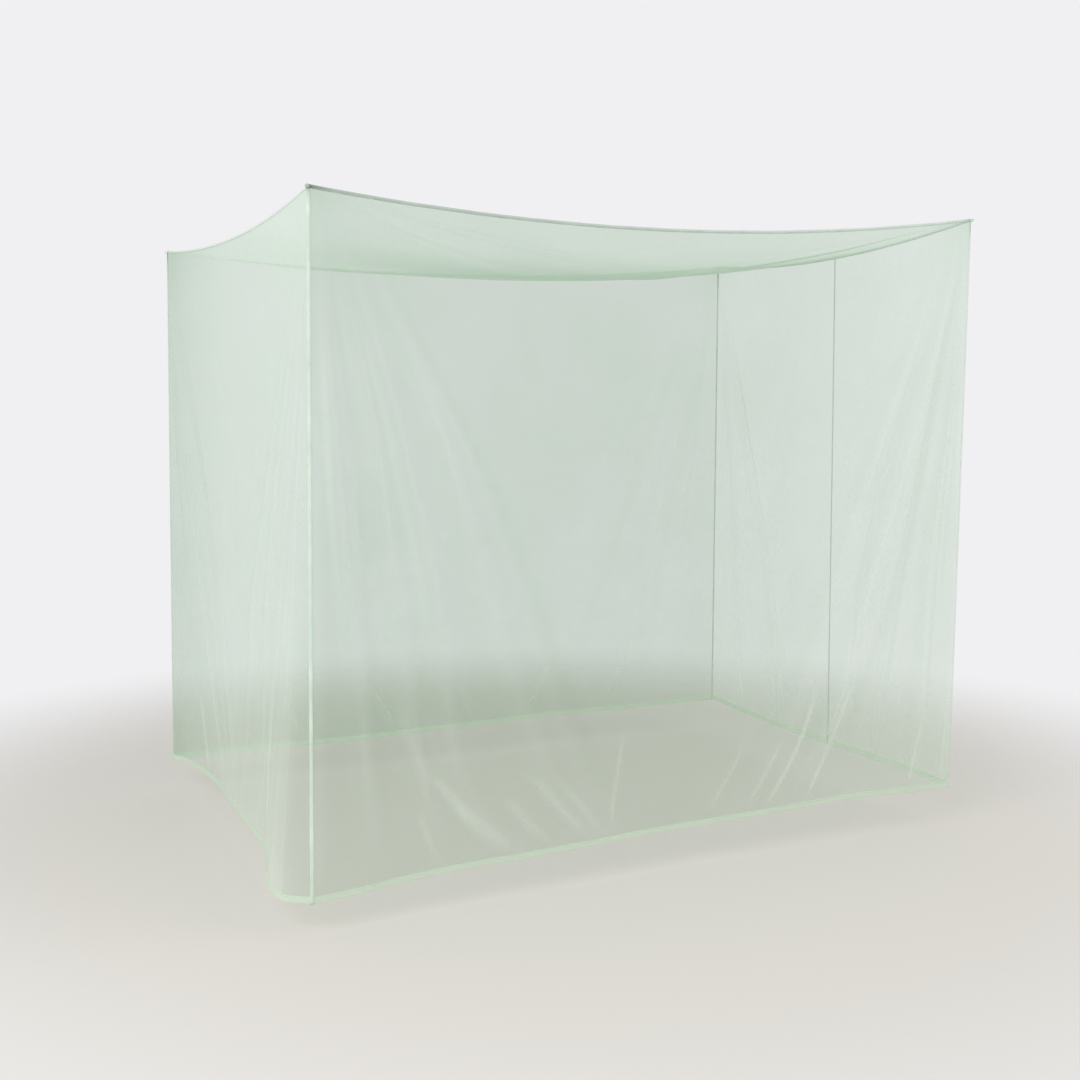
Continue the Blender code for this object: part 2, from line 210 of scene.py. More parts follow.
# Main folds: path along the wall at those heights, depth out (+) or in (-), half width at the hem, in mm.
folds = {
    "front": (
        crest(22, 50, 92, 128, 150, depth=16, half=46),
        crest(48, 112, 150, 190, 232, depth=-13, half=48),
        crest(70, 158, 226, 292, 372, depth=14, half=50),
        crest(96, 220, 330, 390, 600, depth=22, half=66),
        crest(150, 330, 480, 640, 845, depth=18, half=78),
        crest(180, 420, 640, 800, 960, depth=-12, half=70),
        crest(1950, 1790, 1610, 1440, 1215, depth=15, half=72),
        crest(2012, 1900, 1740, 1600, 1410, depth=20, half=64),
        crest(2042, 1965, 1860, 1690, 1545, depth=-13, half=54),
        crest(2062, 2020, 1960, 1945, 1915, depth=15, half=48),
    ),
    "right": (
        crest(26, 66, 118, 150, 170, depth=14, half=44),
        crest(60, 150, 270, 350, 390, depth=17, half=54),
        crest(120, 270, 430, 480, 520, depth=-11, half=50),
        crest(1400, 1255, 1080, 960, 910, depth=18, half=56),
        crest(1424, 1360, 1280, 1220, 1190, depth=-12, half=50),
    ),
    "back": (
        crest(60, 120, 250, 340, 400, depth=18, half=70),
        crest(120, 290, 480, 640, 760, depth=16, half=80),
        crest(1850, 1640, 1450, 1300, 1220, depth=15, half=84),
        crest(2040, 1930, 1790, 1690, 1640, depth=18, half=70),
    ),
    "left": (
        crest(48, 143, 305, 450, 590, depth=9, half=70),
        crest(100, 300, 500, 610, 660, depth=-8, half=74),
        crest(1425, 1212, 955, 862, 715, depth=9, half=66),
        crest(1442, 1296, 1110, 1090, 912, depth=8, half=60),
        crest(1468, 1412, 1318, 1240, 1070, depth=8, half=54),
    ),
}

# Broad waves of the hem: place, reach outwards and half width, in mm.
hemWaves = {
    "front": ({"place": 1060, "out": -8, "half": 420},),
    "right": ({"place": 200, "out": 12, "half": 190}, {"place": 900, "out": -20, "half": 460}),
    "back": ({"place": 700, "out": 22, "half": 380}, {"place": 1550, "out": -18, "half": 420}),
    "left": ({"place": 270, "out": -43, "half": 490}, {"place": 700, "out": -27, "half": 560},
             {"place": 1382, "out": 66, "half": 352}),
}

# Fine creases over the main folds: points (along the wall, above the hem) from the top down,
# depth and half width, all in mm. They fan out from the tied corners and rise from the hem.
# Each crease is painted paler as a painted highlight, more where it is marked light, but for the dark ones,
# where more cloth lies together instead.
creases = {
    "front": (
        crest((20, 1680), (34, 1450), (42, 1200), (50, 900), (66, 560), (80, 250), depth=2.5, half=17),
        crest((36, 1620), (42, 1308), (51, 1059), (68, 868), (89, 709), (104, 500), depth=3, half=17),
        crest((44, 1640), (58, 1553), (95, 1382), (118, 1151), (126, 968), (150, 640), depth=4, half=19),
        crest((70, 1590), (120, 1380), (158, 1180), (196, 960), (226, 700), (250, 420),
              depth=2.5, half=19),
        crest((90, 1560), (129, 1432), (199, 1207), (257, 957), (291, 813), (340, 560), depth=4, half=21),
        crest((110, 1590), (195, 1409), (260, 1334), (350, 1180), (430, 1000), depth=3, half=23),
        crest((150, 1560), (280, 1360), (400, 1180), (520, 980), (610, 800), depth=2, half=27),
        crest((230, 560), (252, 420), (300, 286), (330, 140), depth=4, half=23),
        crest((300, 330), (343, 262), (437, 159), (578, 29), depth=4.5, half=26),
        crest((290, 200), (312, 130), (356, 20), depth=3.5, half=20),
        crest((380, 210), (443, 125), (556, 20), depth=3.5, half=24),
        crest((540, 200), (602, 117), (694, 20), depth=4, half=26),
        crest((600, 270), (686, 160), (814, 20), depth=4, half=26),
        crest((700, 220), (768, 142), (850, 20), depth=3.5, half=22),
        crest((916, 360), (906, 281), (892, 183), (874, 20), depth=4.5, half=14),
        crest((1330, 260), (1289, 178), (1190, 20), depth=4, half=15),
        crest((1450, 240), (1394, 129), (1322, 20), depth=4, half=15),
        crest((1580, 400), (1550, 299), (1499, 180), (1396, 20), depth=5.5, half=16),
        crest((1720, 400), (1681, 302), (1617, 167), (1544, 20), depth=5.5, half=16),
        crest((1965, 260), (1946, 155), (1922, 20), depth=3.5, half=12),
        crest((2066, 330), (2062, 224), (2048, 20), depth=3, half=10),
        crest((2060, 1700), (2035, 1541), (1990, 1360), (1958, 1179), (1907, 937), (1860, 700),
              depth=1.2, half=20, dark=3.6),
        crest((2070, 1640), (2050, 1391), (2024, 1209), (1988, 934), (1966, 625),
              depth=1.2, half=18, dark=3.4),
        crest((2074, 1560), (2066, 1300), (2054, 1050), (2032, 746), (2020, 480),
              depth=1, half=16, dark=3),
        crest((2030, 1640), (1950, 1420), (1850, 1210), (1760, 1010), (1690, 800),
              depth=1.2, half=34, dark=1.6),
        crest((2000, 1610), (1880, 1420), (1740, 1230), (1600, 1060), depth=1, half=40, dark=1.2),
        # the cloth stands in a soft fold beside each upright corner, painted pale as a painted highlight
        crest((24, 1690), (20, 1300), (17, 900), (16, 300), (16, 20), depth=1, half=30, light=5),
        crest((2074, 1690), (2080, 1300), (2083, 900), (2084, 300), (2084, 20), depth=1, half=26, light=4),
    ),
    "right": (
        crest((18, 1700), (40, 1393), (69, 1208), (114, 923), (140, 599), (150, 330),
              depth=1, half=20, dark=4),
        crest((44, 1697), (84, 1548), (124, 1364), (165, 1175), (229, 915), (272, 714),
              depth=1, half=22, dark=4),
        crest((90, 1600), (170, 1400), (260, 1180), (340, 950), depth=1, half=34, dark=3),
        crest((330, 700), (346, 571), (359, 229), (362, 20), depth=2, half=24),
        crest((220, 300), (236, 160), (250, 20), depth=2.5, half=16),
        crest((700, 260), (720, 150), (752, 20), depth=2.5, half=18),
        crest((1439, 1690), (1365, 1427), (1282, 1154), (1180, 887), (1087, 645),
              depth=1, half=18, dark=4),
        crest((1444, 1640), (1416, 1300), (1392, 1032), (1360, 594), (1346, 300),
              depth=1, half=18, dark=3),
        crest((1400, 1600), (1300, 1400), (1180, 1200), (1060, 1010), depth=1, half=30, dark=1.5),
        crest((1010, 330), (980, 190), (930, 20), depth=2.5, half=18),
        crest((1220, 260), (1206, 140), (1180, 20), depth=2.5, half=16),
    ),
    "back": (
        crest((30, 1680), (60, 1420), (96, 1120), (140, 800), (170, 480), depth=3.5, half=19),
        crest((60, 1640), (150, 1380), (230, 1120), (300, 860), (350, 560), depth=4, half=23),
        crest((110, 1600), (260, 1380), (420, 1140), (540, 900), depth=2.5, half=27),
        crest((380, 330), (430, 190), (520, 20), depth=4.5, half=15),
        crest((700, 280), (760, 160), (850, 20), depth=4.5, half=15),
        crest((1120, 250), (1090, 140), (1050, 20), depth=3.5, half=15),
        crest((1500, 300), (1440, 170), (1350, 20), depth=4.5, half=15),
        crest((1800, 280), (1760, 150), (1700, 20), depth=4.5, half=15),
        crest((2060, 1660), (2020, 1420), (1970, 1120), (1930, 800), (1900, 500), depth=4, half=19),
        crest((2030, 1620), (1930, 1380), (1830, 1120), (1750, 860), depth=3.5, half=23),
        crest((1990, 1600), (1820, 1380), (1660, 1160), depth=2, half=27),
    ),
    "left": (
        crest((1450, 1690), (1398, 1547), (1242, 1269), (1118, 1029), (982, 777), (882, 308), (740, 20),
              depth=3, half=28, light=2),
        crest((1456, 1640), (1405, 1478), (1280, 1167), (1155, 817), (1055, 574), (990, 360),
              depth=3, half=28, light=2),
        crest((1464, 1640), (1436, 1308), (1382, 1044), (1337, 836), (1303, 566), (1280, 380),
              depth=2, half=22, light=3),
        crest((1472, 1560), (1458, 1260), (1438, 960), (1420, 700), (1400, 420), depth=2, half=20),
        crest((1476, 1400), (1472, 1000), (1466, 640), (1452, 300), (1440, 60), depth=2, half=20),
        crest((1180, 420), (1133, 296), (1026, 155), (913, 9), depth=2.5, half=26),
        crest((1280, 440), (1250, 304), (1219, 171), (1100, 10), depth=2.5, half=26),
        crest((1330, 470), (1312, 330), (1290, 190), (1240, 10), depth=2.5, half=26),
        crest((1390, 380), (1376, 250), (1366, 120), (1350, 10), depth=2.5, half=26),
        crest((1180, 640), (1120, 470), (1050, 330), (960, 200), depth=3, half=30),
        crest((30, 1660), (54, 1565), (131, 1237), (234, 916), (315, 665), (387, 481),
              depth=2, half=36, dark=2.4),
        crest((24, 1600), (60, 1260), (100, 980), (140, 700), (170, 420), depth=2, half=36, dark=2.4),
        crest((60, 1590), (190, 1330), (330, 1090), (430, 880), depth=3, half=30, dark=1.5),
        crest((500, 700), (531, 566), (581, 325), (643, 90), (660, 10), depth=3, half=30),
        crest((430, 330), (452, 190), (480, 20), depth=2.5, half=26),
        crest((240, 300), (262, 170), (290, 20), depth=2.5, half=26),
    ),
}

roofShape = {
    "dip": 22,  # mm, below its edges
    # towards the back the roof is slack: more cloth lies together there and it is painted less pale, a
    # painted shade, but not beside its left end, nor towards its rim; its front and rim are painted paler
    # and its left end darker, painted light and shade
    "slack": {"from": 0.08, "to": 0.55, "leftEnd": 0.4, "rim": 0.5, "gather": 0.40,
              "paleFront": 0.50, "paleBack": -0.30, "paleRim": 0.45, "gatherLeft": 0.12, "paleLeft": -0.30},
    "foldStart": 0.4,
    "foldFade": (0.6, 1.15),
    "rimGrow": 4,  # how fast the folds grow from the roof's edges
    "topWidth": 0.35,
    "creaseHalf": 30,  # mm; what is narrower than this is a crease
    "paleShare": 0.2,  # of the painted paleness, a painted highlight, that a wall's fold has
    # main folds and fine creases: from a corner towards shares of the length and width
    "folds": (
        crest((0, 0), (0.5, 0.52), depth=-9, half=110),
        crest((0, 0), (0.62, 0.34), depth=9, half=80),
        crest((1, 0), (0.58, 0.6), depth=-8, half=120),
        crest((0, 1), (0.36, 0.6), depth=-8, half=100),
        crest((1, 1), (0.62, 0.52), depth=-4, half=100),
        crest((0, 0), (0.4, 0.38), depth=-2.4, half=15),
        crest((0, 0), (0.5, 0.31), depth=-2.6, half=15),
        # this fold from the front right corner is painted less pale: a painted shade
        crest((1, 0), (0.72, 0.44), depth=-4, half=56, gather=1.6, pale=-0.6),
        crest((1, 0), (0.93, 0.6), depth=4, half=50, gather=0.12),
        crest((1, 0), (0.7, 0.28), depth=-2.4, half=14),
        crest((0, 1), (0.26, 0.72), depth=-2.2, half=13),
        crest((0, 1), (0.34, 0.84), depth=-2, half=12),
        crest((1, 1), (0.74, 0.76), depth=-2.2, half=13),
        crest((1, 1), (0.84, 0.58), depth=-2, half=12),
    ),
}

trim = {
    "bindingHeight": 9 * mm,
    "tapeWidth": 6 * mm,
    "seamWidth": 6 * mm,
    "seamThickness": 3 * mm,
    "gap": 0.5 * mm,
    "tabInside": 2 * mm,
    "tabOutside": 7 * mm,
    "tabRise": 4 * mm,
    "seamAtTop": 0.455,  # the seam of the right-hand wall, as shares of its length
    "seamAtHem": 0.425,
}


def smooth(x):
    x = np.clip(x, 0, 1)
    return x * x * (3 - 2 * x)


def swell(distance, half):  # 1 on a soft ridge's line and 0 from half its width outwards
    share = np.minimum(np.abs(distance) / half, 1)
    return 0.5 + 0.5 * np.cos(np.pi * share)


def curveThrough(knots, values, x):  # a smooth curve through rising knots, level past its ends
    knots, values = np.array(knots, float), np.array(values, float)
    count = len(knots)
    before = np.maximum(np.arange(count) - 1, 0)
    after = np.minimum(np.arange(count) + 1, count - 1)
    slopes = (values[after] - values[before]) / (knots[after] - knots[before])
    x = np.clip(x, knots[0], knots[-1])
    i = np.clip(np.searchsorted(knots, x, side="right") - 1, 0, count - 2)
    span = knots[i + 1] - knots[i]
    t = (x - knots[i]) / span
    return (
        (2 * t**3 - 3 * t**2 + 1) * values[i] + (t**3 - 2 * t**2 + t) * span * slopes[i]
        + (3 * t**2 - 2 * t**3) * values[i + 1] + (t**3 - t**2) * span * slopes[i + 1]
    )


def cornerPoint(corner, end):
    row = corners[corner]
    size = np.array((netCut["length"], netCut["width"], 0)) / 2
    place = size * np.array((*row["side"], 0)) + up * (netCut["drop"] if end == "top" else 0)
    return place + (np.array(row[end]) + np.array(netCut["shift"])) * mm


def wallEnds(wall, end):
    return cornerPoint(walls[wall]["from"], end), cornerPoint(walls[wall]["to"], end)


def outward(wall):
    start, end = wallEnds(wall, "top")
    along = end - start
    level = np.array((along[1], -along[0], 0))
    return level / np.linalg.norm(level)


def wallLength(wall):
    start, end = wallEnds(wall, "top")
    return float(np.linalg.norm(end - start))


def topEdge(wall, u):  # the sagging top edge, u being 0 to 1 along the wall
    start, end = wallEnds(wall, "top")
    u = np.asarray(u, float)[..., None]
    hang = 4 * u * (1 - u) * mm
    drawn = up * walls[wall]["sag"] + outward(wall) * walls[wall]["topIn"]
    return start + (end - start) * u - hang * drawn


def hemEdge(wall, u):
    start, end = wallEnds(wall, "hem")
    u = np.asarray(u, float)[..., None]
    hang = smooth(u / foldShape["hemEnd"]) * smooth((1 - u) / foldShape["hemEnd"]) * mm
    drawn = up * walls[wall]["hemUp"] - outward(wall) * walls[wall]["hemIn"]
    return start + (end - start) * u + hang * drawn


# how much cloth lies together, and how much paler it is painted (a painted highlight), at the crest of each
# form
gatherShare = {"fold": 0.06, "crease": 0.22, "corner": 0.25, "hem": 1.2}
paleShare = {"fold": 0.14, "crease": 0.6, "hem": 2.3}
cornerReach = 90  # mm, over which the cloth lies gathered beside a tied corner

creaseShape = {
    "relief": 0.5,  # share of a crease's depth that stands in the cloth; the rest shows only in its tone
    "fade": 0.3,  # share of its height over which a crease grows or dies away
    "fullDepth": 5,  # mm; a crease this deep has its whole tone,
    "highTone": 0.5,  # or this share of it where the crease isn't a short one at the hem
    "shortTop": 700,  # mm above the hem, the highest that a short crease starts
    "hemReach": 60,  # mm; a crease that ends lower than this runs into the hem,
    "hemEase": (10, 75),  # where it grows over the second length from the first height
    "hemLeft": 0.06,  # share of it that is left in the hem itself
    "slopeStep": 5,  # mm up and down, to find how far a crease leans
}


# depth in mm, gathered cloth and painted paleness (painted light), at places in mm and shares of the drop
def wallRelief(wall, place, drop):
    height = (1 - drop) * netCut["drop"] / mm
    holdFrom = foldShape["hemHoldStart"]
    held = 1 - foldShape["hemHold"] * smooth((drop - holdFrom) / (1 - holdFrom))
    grown = smooth(drop / foldShape["start"]) * held
    depth, gather = 0, 0
    pale = curveThrough((0, 0.5, 1), walls[wall]["pale"], place * mm / wallLength(wall))
    for fold in folds[wall]:
        half = fold["half"] * (foldShape["topWidth"] + (1 - foldShape["topWidth"]) * np.clip(drop, 0, 1))
        line = curveThrough(foldShape["heights"][::-1], fold["path"][::-1], height)
        ridge = grown * swell(place - line, half)
        depth = depth + fold["depth"] * ridge
        gather = gather + gatherShare["fold"] * ridge
        pale = pale + paleShare["fold"] * ridge * (fold["depth"] > 0)
    for wave in hemWaves[wall]:
        rise = np.clip(drop, 0, 1) ** foldShape["waveRise"]
        depth = depth + wave["out"] * rise * swell(place - wave["place"], wave["half"])
    form = creaseShape
    step = form["slopeStep"]
    easeFrom, easeOver = form["hemEase"]
    inHem = form["hemLeft"] + (1 - form["hemLeft"]) * smooth((height - easeFrom) / easeOver)
    for crease in creases[wall]:
        places, heights = zip(*crease["path"][::-1])
        line = curveThrough(heights, places, height)
        lean = curveThrough(heights, places, height + step) - curveThrough(heights, places, height - step)
        half = crease["half"] * np.sqrt(1 + (lean / (2 * step)) ** 2)
        toHem = heights[0] < form["hemReach"]
        fade = form["fade"] * (heights[-1] - heights[0])
        ridge = smooth((heights[-1] - height) / fade) * swell(place - line, half)
        ridge = ridge if toHem else ridge * smooth((height - heights[0]) / fade)
        ridge = ridge * inHem
        strength = abs(crease["depth"]) / form["fullDepth"]
        strength = strength if toHem and heights[-1] < form["shortTop"] else strength * form["highTone"]
        # a crease's painted highlight: none on the dark ones
        light = 0 if "dark" in crease else crease.get("light", 1)
        depth = depth + form["relief"] * crease["depth"] * ridge
        gather = gather + gatherShare["crease"] * strength * ridge * crease.get("dark", 1)
        pale = pale + paleShare["crease"] * strength * ridge * light
    return depth, gather, pale


# points, gathered cloth and painted paleness (painted light); out moves the points off the cloth's own face
def wallPoints(wall, u, drop, out=0.0):
    length = wallLength(wall)
    top = topEdge(wall, u) - up * (trim["bindingHeight"] / 2 + trim["gap"])
    depth, gather, pale = wallRelief(wall, u * length / mm, drop)
    fromSeam = np.minimum(u, 1 - u) * length
    besideSeam = np.sqrt(smooth((fromSeam - trim["tapeWidth"]) / foldShape["endLength"]))
    drop = np.asarray(drop, float)[..., None]
    points = top + (hemEdge(wall, u) - top) * drop
    points = points + outward(wall) * (depth * mm * besideSeam + out)[..., None]
    toCorner = np.hypot(fromSeam / mm, drop[..., 0] * netCut["drop"] / mm)
    return points, gather + gatherShare["corner"] * np.exp(-toCorner / cornerReach), pale


def addPiece(name, points, faces, material, closed=True):
    mesh = bpy.data.meshes.new(name)
    mesh.from_pydata(points, [], faces)
    if closed:  # then its faces are turned outwards
        shape = bmesh.new()
        shape.from_mesh(mesh)
        bmesh.ops.recalc_face_normals(shape, faces=shape.faces)
        shape.to_mesh(mesh)
        shape.free()
    mesh.materials.append(material)
    mesh.shade_smooth()
    piece = bpy.data.objects.new(name, mesh)
    bpy.context.scene.collection.objects.link(piece)
    return piece


def addTone(piece, flat, **shares):  # each point's place on the flat cloth, and how gathered it is or how pale it is painted
    mesh = piece.data
    layer = mesh.uv_layers.new(name="cloth")
    loops = np.zeros(len(mesh.loops), np.int32)
    mesh.loops.foreach_get("vertex_index", loops)
    layer.data.foreach_set("uv", flat.reshape(-1, 2)[loops].ravel().astype(np.float32))
    for word, share in shares.items():
        attribute = mesh.attributes.new(word, "FLOAT", "POINT")
        attribute.data.foreach_set("value", share.ravel().astype(np.float32))
    return piece


def clothGrid(name, points, flat, gather, pale):  # a single sheet of net
    rows, columns = points.shape[:2]
    index = np.arange(rows * columns).reshape(rows, columns)
    quads = np.stack([index[:-1, :-1], index[1:, :-1], index[1:, 1:], index[:-1, 1:]], axis=-1)
    quads = quads.reshape(-1, 4).tolist()
    piece = addPiece(name, points.reshape(-1, 3).tolist(), quads, netCloth, closed=False)
    return addTone(piece, flat, gather=gather, pale=pale)


netFinish = {
    # knitted polyester net, dyed mint and heat set: matt, thin, and seen through its holes
    "fibre": "#8CB58E",
    "paleFibre": "#E0F2E1",  # painted highlight: the colour where folds and the hem are painted as catching the light, and a painted sheen where the net is seen edge on
    "hemFibre": "#E4F1E0",  # where the pale attribute is above hemFrom, in the turned hem: a stronger painted highlight
    "hemFrom": 1.6,
    "holePitch": 4.0,  # mm; the real holes are 1.5 mm, too fine to show, so they are drawn coarser
    "threadContrast": 0.18,  # how much less the holes fill of the view,
    "threadShare": 0.6,  # and the share of it that the threads fill more
    "threadEdge": 1.2,  # sum of the waves, from a hole's middle (+) to a thread (-)
    "cover": 0.25,  # share of the view that the threads fill, looked at straight on
    "coverEdgeOn": 0.52,
    "coverAtBrim": 0.16,  # and more than that where the view only grazes the cloth
    "brimFrom": 0.93,
    "edgeOnPower": 2.6,
    # painted sheen: the fibre is painted towards paleFibre where the net is seen edge on
    "edgeOnPale": 0.9,
    "gatherLayers": 2.6,  # how many layers lie on the first where the gather attribute is 1
    "unevenness": 0.10,
    "cloudScale": 3.2,  # clouds of unevenness in a metre
    "cloudRoughness": 0.55,
    "lightThrough": 0.4,  # share of a thread's light that comes from behind it
    "roughness": 0.75,
    "sheen": 0.10,
    "sheenRoughness": 0.4,
    "shine": 0.2,
}

tapeFinish = {
    # woven polyester tape, folded over the seam: matt, close and ribbed across
    "ribPitch": 2.4,  # mm; the real ribs are 0.8 mm, drawn coarser so that they show
    "ribTone": (0.86, 1.06),
    "ribHeight": 0.3 * mm,
    "ribRelief": 0.35,  # share of that height that shows
    "ribWander": 0.4,
    "wearTone": (0.92, 1.08),
    "wearScale": 18.0,
    "layered": 3.4,  # how much more a darker stretch, where the tape lies in layers, fills
    "layeredDark": 0.45,
    "roughness": 0.68,
    "sheen": 0.10,
    "shine": 0.25,
}

threadFinish = {
    # spun polyester thread, with its ply as a fine grain
    "colour": "#CBDCCD",
    "plyScale": 900.0,
    "plyTone": (0.8, 1.05),
    "roughness": 0.6,
    "shine": 0.4,
}

noiseRange = {"From_Min": 0.3, "From_Max": 0.7}  # nearly all that a noise texture gives

# Lit and shaded copies of one woven tape, painted light and shade for where each piece stands: each copy's
# material, colour and how much of the view one layer of it fills.
tapeLooks = {
    "deep": ("shadedCopyWovenPolyesterTape", "#CCDACE", 0.32),
    "middle": ("middleLitCopyWovenPolyesterTape", "#C6D7C8", 0.45),
    "pale": ("litCopyWovenPolyesterTape", "#D8EADA", 0.30),
    "white": ("brightestLitCopyWovenPolyesterTape", "#E2F2E4", 0.72),
    "faint": ("sheerLitCopyWovenPolyesterTape", "#D8EADA", 0.10),
    "knot": ("knottedGreenWovenPolyesterTape", "#BECDC1", 0.62),
}


def netMaterial():
    finish = netFinish
    contrast, uneven = finish["threadContrast"], finish["unevenness"]
    material, tree = newMaterial("mintKnittedPolyesterNet")
    place = addNode(tree, "UVMap", uv_map="cloth")
    waves = []
    pull = 4 * math.pi / (math.sqrt(3) * finish["holePitch"] * mm)
    for turn in (90, 210, 330):  # three waves a third of a turn apart make six-sided holes
        angle = math.radians(turn)
        along = addNode(tree, "VectorMath", operation="DOT_PRODUCT", i0=place,
                        i1=(pull * math.cos(angle), pull * math.sin(angle), 0))
        waves.append(addNode(tree, "Math", operation="COSINE", i0=along.outputs["Value"]))
    two = addNode(tree, "Math", operation="ADD", i0=waves[0], i1=waves[1])
    three = addNode(tree, "Math", operation="ADD", i0=two, i1=waves[2])
    thread = addNode(tree, "MapRange", interpolation_type="SMOOTHSTEP", Value=three,
                     From_Min=finish["threadEdge"], From_Max=-finish["threadEdge"], To_Min=1 - contrast,
                     To_Max=1 + contrast * finish["threadShare"])
    spots = addNode(tree, "TexCoord").outputs["Object"]
    cloud = addNode(tree, "TexNoise", Vector=spots, Scale=finish["cloudScale"], Detail=3.0,
                    Roughness=finish["cloudRoughness"])
    patchy = addNode(tree, "MapRange", Value=cloud, **noiseRange, To_Min=1 - uneven, To_Max=1 + uneven)

    # the threads fill more of the view where the net is seen edge on, and its holes don't show there
    facing = addNode(tree, "LayerWeight", Blend=0.5).outputs["Facing"]
    edge = addNode(tree, "Math", operation="POWER", i0=facing, i1=finish["edgeOnPower"])
    cover = addNode(tree, "MapRange", Value=edge, To_Min=finish["cover"], To_Max=finish["coverEdgeOn"])
    brim = addNode(tree, "MapRange", interpolation_type="SMOOTHSTEP", Value=facing,
                   From_Min=finish["brimFrom"], To_Max=finish["coverAtBrim"])
    cover = addNode(tree, "Math", operation="ADD", i0=cover, i1=brim)
    cover = addNode(tree, "Math", operation="MULTIPLY", i0=cover, i1=patchy)
    plain = addNode(tree, "Mix", i0=facing, i2=thread, i3=1.0)
    cover = addNode(tree, "Math", operation="MULTIPLY", i0=cover, i1=plain)

    # each gathered layer covers as much again of what still shows through
    gather = addNode(tree, "Attribute", attribute_name="gather").outputs["Fac"]
    holes = addNode(tree, "Math", operation="SUBTRACT", i0=1.0, i1=cover)
    layers = addNode(tree, "Math", operation="MULTIPLY_ADD", i0=gather, i1=finish["gatherLayers"], i2=1.0)
    seenThrough = addNode(tree, "Math", operation="POWER", i0=holes, i1=layers)

    # painted light: the pale attribute and the edge-on view mix the fibre towards paleFibre, a painted
    # highlight and painted sheen; where the attribute is below zero it holds that sheen back, a painted
    # shade
    pale = addNode(tree, "Attribute", attribute_name="pale").outputs["Fac"]
    pale = addNode(tree, "Math", operation="MULTIPLY_ADD", i0=facing, i1=finish["edgeOnPale"], i2=pale)
    turned = addNode(tree, "Math", operation="SUBTRACT", use_clamp=True, i0=pale, i1=finish["hemFrom"])
    pale = addNode(tree, "Clamp", Value=pale)
    fibre = addNode(tree, "Mix", data_type="RGBA", i0=pale, i6=toLinear(finish["fibre"]),
                    i7=toLinear(finish["paleFibre"]))
    fibre = addNode(tree, "Mix", data_type="RGBA", i0=turned, i6=fibre.outputs[2],
                    i7=toLinear(finish["hemFibre"]))
    behind = addNode(tree, "BsdfTranslucent", Color=fibre.outputs[2])
    surface = addNode(tree, "BsdfPrincipled", Base_Color=fibre.outputs[2], Roughness=finish["roughness"],
                      Sheen_Weight=finish["sheen"], Sheen_Roughness=finish["sheenRoughness"],
                      Specular_IOR_Level=finish["shine"])
    cloth = addNode(tree, "MixShader", i0=finish["lightThrough"], i1=surface, i2=behind)
    clear = addNode(tree, "BsdfTransparent", Color=(1, 1, 1, 1))
    mix = addNode(tree, "MixShader", i0=seenThrough, i1=cloth, i2=clear)
    addNode(tree, "OutputMaterial", Surface=mix)
    return material


def tapeMaterial(name, colour, cover):
    finish = tapeFinish
    material, tree = newMaterial(name)
    place = addNode(tree, "UVMap", uv_map="cloth")
    ribs = addNode(tree, "TexWave", bands_direction="X", Vector=place,
                   Scale=math.pi / 10 / (finish["ribPitch"] * mm), Distortion=finish["ribWander"],
                   Detail=1.0)
    low, high = finish["ribTone"]
    tone = addNode(tree, "MapRange", Value=ribs.outputs["Fac"], To_Min=low, To_Max=high)
    spots = addNode(tree, "TexCoord").outputs["Object"]
    cloud = addNode(tree, "TexNoise", Vector=spots, Scale=finish["wearScale"], Detail=3.0)
    low, high = finish["wearTone"]
    wear = addNode(tree, "MapRange", Value=cloud, **noiseRange, To_Min=low, To_Max=high)
    dark = addNode(tree, "Attribute", attribute_name="gather").outputs["Fac"]
    depth = addNode(tree, "Math", operation="MULTIPLY_ADD", i0=dark, i1=-finish["layeredDark"], i2=1.0)
    level = addNode(tree, "Math", operation="MULTIPLY", i0=tone, i1=wear)
    level = addNode(tree, "Math", operation="MULTIPLY", i0=level, i1=depth)
    shade = addNode(tree, "VectorMath", operation="SCALE", i0=toLinear(colour)[:3], Scale=level)
    bump = addNode(tree, "Bump", Strength=finish["ribRelief"], Distance=finish["ribHeight"],
                   Height=ribs.outputs["Fac"])
    surface = addNode(tree, "BsdfPrincipled", Base_Color=shade, Roughness=finish["roughness"],
                      Sheen_Weight=finish["sheen"], Specular_IOR_Level=finish["shine"], Normal=bump)
    clear = addNode(tree, "BsdfTransparent", Color=(1, 1, 1, 1))
    filled = addNode(tree, "Math", operation="MULTIPLY_ADD", use_clamp=True, i0=dark,
                     i1=cover * finish["layered"], i2=cover)
    mix = addNode(tree, "MixShader", i0=filled, i1=clear, i2=surface)
    addNode(tree, "OutputMaterial", Surface=mix)
    return material


def threadMaterial():
    finish = threadFinish
    material, tree = newMaterial("paleGreenSpunPolyesterThread")
    spots = addNode(tree, "TexCoord").outputs["Object"]
    ply = addNode(tree, "TexNoise", Vector=spots, Scale=finish["plyScale"], Detail=2.0)
    low, high = finish["plyTone"]
    tone = addNode(tree, "MapRange", Value=ply, **noiseRange, To_Min=low, To_Max=high)
    shade = addNode(tree, "VectorMath", operation="SCALE", i0=toLinear(finish["colour"])[:3], Scale=tone)
    surface = addNode(tree, "BsdfPrincipled", Base_Color=shade, Roughness=finish["roughness"],
                      Specular_IOR_Level=finish["shine"])
    addNode(tree, "OutputMaterial", Surface=surface)
    return material


netCloth = netMaterial()
stitchThread = threadMaterial()
tapeCloths = {look: tapeMaterial(*values) for look, values in tapeLooks.items()}
print("materials made")


